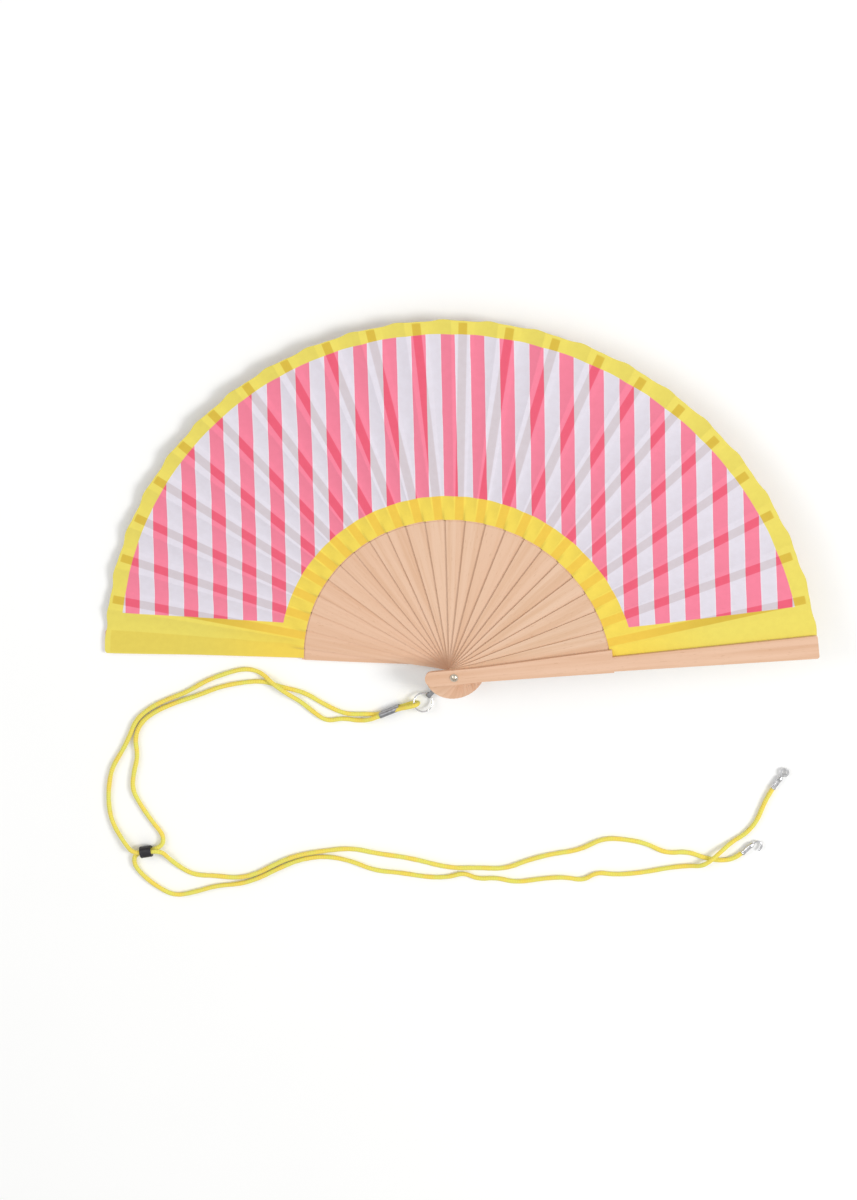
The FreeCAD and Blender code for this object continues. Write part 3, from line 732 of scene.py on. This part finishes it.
def sheet_solid(name, grid, maps):
    """A closed thin sheet from a grid of underside points, with a front, a back and a rim.
    maps holds, for each UV map, a pair of numbers for each point of the grid."""
    rows, columns = len(grid), len(grid[0])
    top = [p + Vector((0, 0, CLOTH_THICKNESS)) for row in grid for p in row]
    bottom = [p for row in grid for p in row]
    count = rows * columns
    front, back, rim = [], [], []
    for i in range(rows - 1):
        for j in range(columns - 1):
            a, b = i * columns + j, i * columns + j + 1
            c, d = (i + 1) * columns + j + 1, (i + 1) * columns + j
            front.append((a, b, c, d))
            back.append((d + count, c + count, b + count, a + count))
    border = list(range(columns))
    border += [i * columns + columns - 1 for i in range(1, rows)]
    border += [(rows - 1) * columns + j for j in range(columns - 2, -1, -1)]
    border += [i * columns for i in range(rows - 2, 0, -1)]
    for a, b in zip(border, border[1:] + border[:1]):
        rim.append((b, a, a + count, b + count))
    first_rim = len(front) + len(back)
    piece = mesh_piece(name, top + bottom, front + back + rim, range(first_rim, first_rim + len(rim)))
    for key, values in maps.items():
        add_uv(piece, key, values + values)
    sharpen(piece, 60.0)
    slots = [0] * len(front) + [1] * len(back) + [0] * len(rim)
    piece.data.polygons.foreach_set("material_index", slots)
    return piece


def row_radii(angle, reach_of):
    """Radii of a column's points, closer together near both edges."""
    outer = reach_of(angle)
    radii = []
    for index in range(ROWS + 1):
        t = index / ROWS
        eased = t - ROW_CROWDING * math.sin(2 * math.pi * t)
        radii.append(mix(LEAF_INNER, outer, eased))
    return radii


def scallop(share, radius):
    """How far the folds draw the cloth in or out along its radius, towards the outer edge."""
    wave = math.cos(2 * math.pi * (share - SCALLOP_PEAK))
    from_stick = 4 * min(share, 1 - share)
    return SCALLOP * wave * from_stick * smooth_step(radius, SCALLOP_START, TIP_RADIUS)


def gap_piece(gap_index):
    """The leaf from one stick's centreline to the next."""
    start, end = STICK_ANGLES[gap_index], STICK_ANGLES[gap_index + 1]
    columns = []
    for share in COLUMNS:
        angle = mix(start, end, share)
        column = []
        for radius in row_radii(angle, gap_reach):
            z = surface_height(gap_index, share, radius)
            if FOLD_SHARE <= share <= 1 - FOLD_SHARE:
                lift = math.sin(math.pi * (share - FOLD_SHARE) / (1 - 2 * FOLD_SHARE))
                z += pucker(angle, radius) * lift
            reach = radius + scallop(share, radius)
            away = min(share, 1 - share) * gap_width(gap_index, radius)
            if share < 0.5:
                behind = behind_map(gap_index, -away, radius)
            else:
                behind = behind_map(gap_index + 1, away, radius)
            column.append((polar(reach, angle, z), flat_place(reach, angle), behind))
        columns.append(column)
    rows = list(zip(*columns))
    grid = [[entry[0] for entry in reversed(row)] for row in rows]
    maps = {
        "cloth": [entry[1] for row in rows for entry in reversed(row)],
        "stick": [entry[2] for row in rows for entry in reversed(row)],
    }
    return sheet_solid(f"leaf_fold_{gap_index + 1:02d}", grid, maps)


def end_piece(name, stick, shares, edge_of, reach_of):
    """The leaf's last strip, glued along a guard. It runs from the guard's centreline to edge_of,
    a distance across the guard at each radius. shares are the places across it, from 0 to 1."""
    angle = STICK_ANGLES[stick]
    z = leaf_height(stick)
    grid, cloth, behind = [], [], []
    for radius in row_radii(angle, reach_of):
        row = []
        for share in shares:
            across = share * edge_of(radius)
            along = radius
            corner = max(0.0, share - CORNER_SHARE) / (1 - CORNER_SHARE)
            if radius > STICK_REACH - CORNER_ROWS:
                along = min(along, guard_reach(angle) - CORNER_CUT * corner ** 2)
            spot = polar(along, angle, z) + polar(across, angle + 90.0)
            row.append(spot)
            flat_angle = math.degrees(math.atan2(spot.y, spot.x))
            cloth.append(flat_place(math.hypot(spot.x, spot.y), flat_angle))
            behind.append(behind_map(stick, across, radius))
        grid.append(row)
    return sheet_solid(name, grid, {"cloth": cloth, "stick": behind})


def back_edge(radius):
    """The leaf covers the back guard to its outer edge, and laps a little over it near the tip."""
    lap = BACK_LAP + BACK_LAP_MORE * smooth_step(radius, *BACK_LAP_RADII)
    return blade_shift(0, radius) + half_width(0, radius) + lap


def front_edge(radius):
    """The leaf runs on under the front guard, past its centreline, and ends inside its outer edge."""
    return -FRONT_COVER * half_width(LAST_STICK, radius)


def body_of_stick(stick):
    return STICK_NAMES[stick] + "_body"


def bend_with_fan(piece):
    """Bakes a gap piece's placement into its mesh."""
    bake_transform(piece)


def add_gap_piece(gap_index, front, back):
    piece = gap_piece(gap_index)
    piece.data.materials.append(front)
    piece.data.materials.append(back)
    bend_with_fan(piece)
    if gap_index == 0:
        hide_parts("leaf_panel_01")
    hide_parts(f"leaf_panel_{gap_index + 2:02d}")


def add_end_piece(piece, stick, front, back):
    """Gives an end strip its front and back materials and hangs it on its guard's body."""
    piece.data.materials.append(front)
    piece.data.materials.append(back)
    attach(piece, body_of_stick(stick))


def add_leaf(front, back):
    for gap_index in range(LAST_STICK):
        add_gap_piece(gap_index, front, back)
    steps = [index / 8 for index in range(9)]
    back_end = end_piece("leaf_end_back", 0, steps, back_edge, guard_reach)
    front_end = end_piece("leaf_end_front", LAST_STICK, steps[::-1], front_edge, outer_reach)
    add_end_piece(back_end, 0, front, back)
    add_end_piece(front_end, LAST_STICK, front, back)


# ---- Lanyard pieces ----
def split_ring(material):
    """Two flat turns of wire that cross over at one place."""
    joint = next(j for j in frame["joints"] if j["name"] == "split_ring_spin")
    centre = Vector(joint["pos_m"])
    axis = Vector(joint["axis"]).normalized()
    across = axis.cross(Vector((0, 0, 1))).normalized()
    other = axis.cross(across)
    lift = RING_WIRE * 0.49  # half the height from one turn up to the other
    rings = []
    steps = 2 * RING_TURN_STEPS - 2
    for index in range(steps + 1):
        turned = 4 * math.pi * index / (2 * RING_TURN_STEPS)
        crossing = smooth_step(turned, 2 * math.pi - 0.55, 2 * math.pi + 0.1)
        height = mix(-lift, lift, crossing)
        outward = across * math.cos(turned) + other * math.sin(turned)
        taper = min(1.0, 0.55 + 0.45 * smooth_step(min(index, steps - index), 0, 3))
        ring = []
        for corner in range(RING_SIDES):
            around = 2 * math.pi * corner / RING_SIDES
            wide = math.copysign(abs(math.cos(around)) ** RING_SQUARENESS, math.cos(around))
            tall = math.copysign(abs(math.sin(around)) ** RING_SQUARENESS, math.sin(around))
            radius = RING_MEAN_RADIUS + wide * RING_WIRE * 0.48 * taper
            ring.append(centre + outward * radius + axis * (height + tall * lift * 0.94 * taper))
        rings.append(ring)
    piece = mesh_piece("split_ring_wire", *tube_rings(rings))
    sharpen(piece, 70.0)
    piece.data.materials.append(material)
    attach(piece, "split_ring_body")
    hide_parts("split_ring")


def oval(width, height, count):
    """An upright oval with straight sides, as points (y, z)."""
    radius = width / 2
    straight = (height - width) / 2
    points = []
    for index in range(count):
        turn = 2 * math.pi * index / count
        y, z = radius * math.cos(turn), radius * math.sin(turn)
        points.append((y, z + math.copysign(straight, z) if abs(z) > 1e-9 else z))
    return points


def lined_tube(name, stations, narrower, count):
    """A hollow tube along X from outer sections, with a lining that is narrower by the amount given.
    Each station is (x, width, height)."""
    outer = [[Vector((x, y, z)) for y, z in oval(w, h, count)] for x, w, h in stations]
    lining = []
    for x, w, h in reversed(stations):
        lining.append([Vector((x, y, z)) for y, z in oval(w - narrower, h - narrower, count)])
    return hollow_piece(name, outer + lining)


def cord_crimp(material):
    """A sleeve of sheet steel, pinched in two places and flared at its mouths."""
    length, width, height = CRIMP_SIZE
    stations = []
    for index in range(CRIMP_STATIONS):
        t = index / (CRIMP_STATIONS - 1)
        x = (t - 0.5) * length
        pinch = sum(math.exp(-((t - share) / PINCH_WIDTH) ** 2) for share in PINCH_SHARES)
        flare = smooth_step(abs(t - 0.5), 0.46, 0.5)
        stations.append((x, width * (0.985 - 0.06 * pinch + 0.015 * flare),
                         height * (0.985 - 0.02 * pinch + 0.015 * flare)))
    piece = lined_tube("cord_crimp_sleeve", stations, 2 * CRIMP_WALL, CRIMP_SIDES)
    seam_turn, seam_width, seam_depth = math.radians(78), 0.09, 0.00012
    for vertex in piece.data.vertices:
        turn = math.atan2(vertex.co.z, vertex.co.y)
        if abs(turn - seam_turn) < seam_width and vertex.co.z > height * 0.3:
            vertex.co.z -= seam_depth
    place(piece, middle("cord_crimp"), CRIMP_ANGLE)
    sharpen(piece, 40.0)
    piece.data.materials.append(material)
    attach(piece, "lanyard_body")
    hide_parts("cord_crimp")
    return piece


def slide_bead(material):
    """A turned black barrel with two shallow grooves, and an oval passage for both strands."""
    radius = BEAD_DIAMETER / 2
    profile = [(0.0, 0.86), (0.004, 0.93), (0.02, 0.975), (0.05, 1.0), (0.17, 1.0), (0.19, 0.965),
               (0.23, 0.965), (0.25, 1.0), (0.5, 1.0), (0.75, 1.0), (0.77, 0.965), (0.81, 0.965),
               (0.83, 1.0), (0.95, 1.0), (0.98, 0.975), (0.996, 0.93), (1.0, 0.86)]
    rings = []
    for t, share in profile:
        rings.append(round_ring((t - 0.5) * BEAD_LENGTH, radius * share, BEAD_SIDES))
    for t in (1.0, 0.97, 0.5, 0.03, 0.0):
        x = (t - 0.5) * BEAD_LENGTH
        mouth = 0.0003 if t in (0.0, 1.0) else 0.0
        slot = oval(BEAD_SLOT[0] + mouth, BEAD_SLOT[1] + mouth, BEAD_SIDES)
        rings.append([Vector((x, y, z)) for y, z in slot])
    piece = hollow_piece("slide_bead_barrel", rings)
    place(piece, middle("slide_bead"), BEAD_ANGLE)
    sharpen(piece, 40.0)
    piece.data.materials.append(material)
    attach(piece, "slide_bead_body")
    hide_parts("slide_bead")
    return piece


def ferrule(name, node, mouth, angle, material):
    """A spun metal sleeve with a rolled mouth, two crimped grooves and a stepped nose."""
    r = FERRULE_RADIUS
    profile = [
        (0.0, r * 0.86), (0.0, r * 0.97), (0.00015, r), (0.0006, r), (0.0008, r * 0.93),
        (0.0020, r * 0.93), (0.0022, r * 0.96), (0.0024, r * 0.86), (0.0029, r * 0.86),
        (0.0031, r * 0.95), (0.0044, r * 0.95), (0.0046, r * 0.86), (0.0051, r * 0.86),
        (0.0053, r * 0.95), (FERRULE_LENGTH - 0.0006, r * 0.95), (FERRULE_LENGTH - 0.0004, r),
        (FERRULE_LENGTH, r), (FERRULE_LENGTH + 0.0002, r * 0.93),
        (FERRULE_LENGTH + FERRULE_NOSE - 0.0002, FERRULE_NOSE_RADIUS),
        (FERRULE_LENGTH + FERRULE_NOSE, FERRULE_NOSE_RADIUS * 0.85),
        (FERRULE_LENGTH + FERRULE_NOSE, 0.0002),
    ]
    rings = [round_ring(x, radius, FERRULE_SIDES) for x, radius in profile]
    piece = mesh_piece(name, *tube_rings(rings))
    place(piece, mouth, angle)
    sharpen(piece, 30.0)
    piece.data.materials.append(material)
    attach(piece, "lanyard_body")
    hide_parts(node)
    return piece


# ---- Stage ----
FLOOR_HALF_SIZE = 30.0
FLOOR_DROP = 0.0003  # keeps the floor clear of the pieces that lie on it
HORIZON_GLOW = 0.22
ZENITH_GLOW = 0.76


def add_floor(material):
    size = FLOOR_HALF_SIZE
    corners = [(-size, -size, 0), (size, -size, 0), (size, size, 0), (-size, size, 0)]
    floor = mesh_piece("floor", corners, [(0, 1, 2, 3)], [0])
    floor.location.z = -FLOOR_DROP
    floor.data.materials.append(material)


def add_light(name, position, size, power):
    """A square lamp that points at the origin."""
    lamp = bpy.data.lights.new(name, "AREA")
    lamp.shape = "SQUARE"
    lamp.size = size
    lamp.energy = power
    holder = bpy.data.objects.new(name, lamp)
    holder.location = position
    holder.rotation_euler = (-Vector(position)).to_track_quat("-Z", "Y").to_euler()
    bpy.context.scene.collection.objects.link(holder)


def add_studio():
    world = bpy.data.worlds.new("studio")
    world.use_nodes = True
    nodes, links = world.node_tree.nodes, world.node_tree.links
    way = nodes.new("ShaderNodeTexCoord")
    parts = nodes.new("ShaderNodeSeparateXYZ")
    height = nodes.new("ShaderNodeMapRange")
    for socket, value in zip(height.inputs[1:5], (0.0, 0.9, HORIZON_GLOW, ZENITH_GLOW)):
        socket.default_value = value
    links.new(way.outputs["Generated"], parts.inputs[0])
    links.new(parts.outputs["Z"], height.inputs[0])
    links.new(height.outputs[0], nodes["Background"].inputs["Strength"])
    nodes["Background"].inputs["Color"].default_value = (1.0, 1.0, 1.0, 1.0)
    bpy.context.scene.world = world
    bpy.context.scene.view_settings.view_transform = "Standard"
    add_light("key", (2.3, 0.3, 2.2), 1.0, 52.0)
    add_light("fill", (-2.0, 0.9, 2.0), 1.6, 17.0)


def dress_node(name, material):
    """Gives a CAD node its material."""
    materials = frame["nodes"][name].data.materials
    materials.clear()
    materials.append(material)


# ---- Build ----
FRONT_GUARD_SHADED_ROSY = 0.8  # painted shade: the front guard gets a pinker, darker wood tone, against the brighter light on it

add_camera()

braid_material = braid("braid")
strand_a, line_a = braided_cord("lanyard_strand_a", ROUTE_A, braid_material)
strand_b, line_b = braided_cord("lanyard_strand_b", ROUTE_B, braid_material)
for strand, node in ((strand_a, "lanyard_cord_a"), (strand_b, "lanyard_cord_b")):
    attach(strand, "lanyard_body")
    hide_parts(node)

fitting_metal = plated_metal("fitting_metal", "E4E4E6", "A8A6A2", 0.18)
crimp_metal = plated_metal("crimp_metal", "A9A9AC", "6E6C6C", 0.3)
rivet_metal = plated_metal("rivet_metal", "E2D6C4", "A99A86", 0.24)

crimp = cord_crimp(crimp_metal)
bead = slide_bead(moulded_plastic("bead_plastic"))
hook_sleeve = ferrule("hook_sleeve", "hook_ferrule", HOOK_MOUTH, HOOK_ANGLE, fitting_metal)
eye_sleeve = ferrule("eye_sleeve", "eye_ferrule", EYE_MOUTH, EYE_ANGLE, fitting_metal)
split_ring(fitting_metal)

for seed, (stick_name, stick_angle) in enumerate(zip(STICK_NAMES, STICK_ANGLES)):
    rosy = stick_angle / 180.0 * random.uniform(0.7, 1.0)
    if stick_name == "front_guard":
        rosy = FRONT_GUARD_SHADED_ROSY
    dress_node(stick_name, wood("beech_" + stick_name, stick_angle, seed + 1.0, rosy))
for metal_name, metal in (("pivot_pin", rivet_metal), ("pivot_washers", rivet_metal),
                          ("lanyard_tab", crimp_metal), ("closing_hook", fitting_metal),
                          ("closing_eye", fitting_metal)):
    dress_node(metal_name, metal)

add_leaf(leaf_cloth("leaf_front", False), leaf_cloth("leaf_back", True))
add_floor(backdrop("backdrop"))
add_studio()
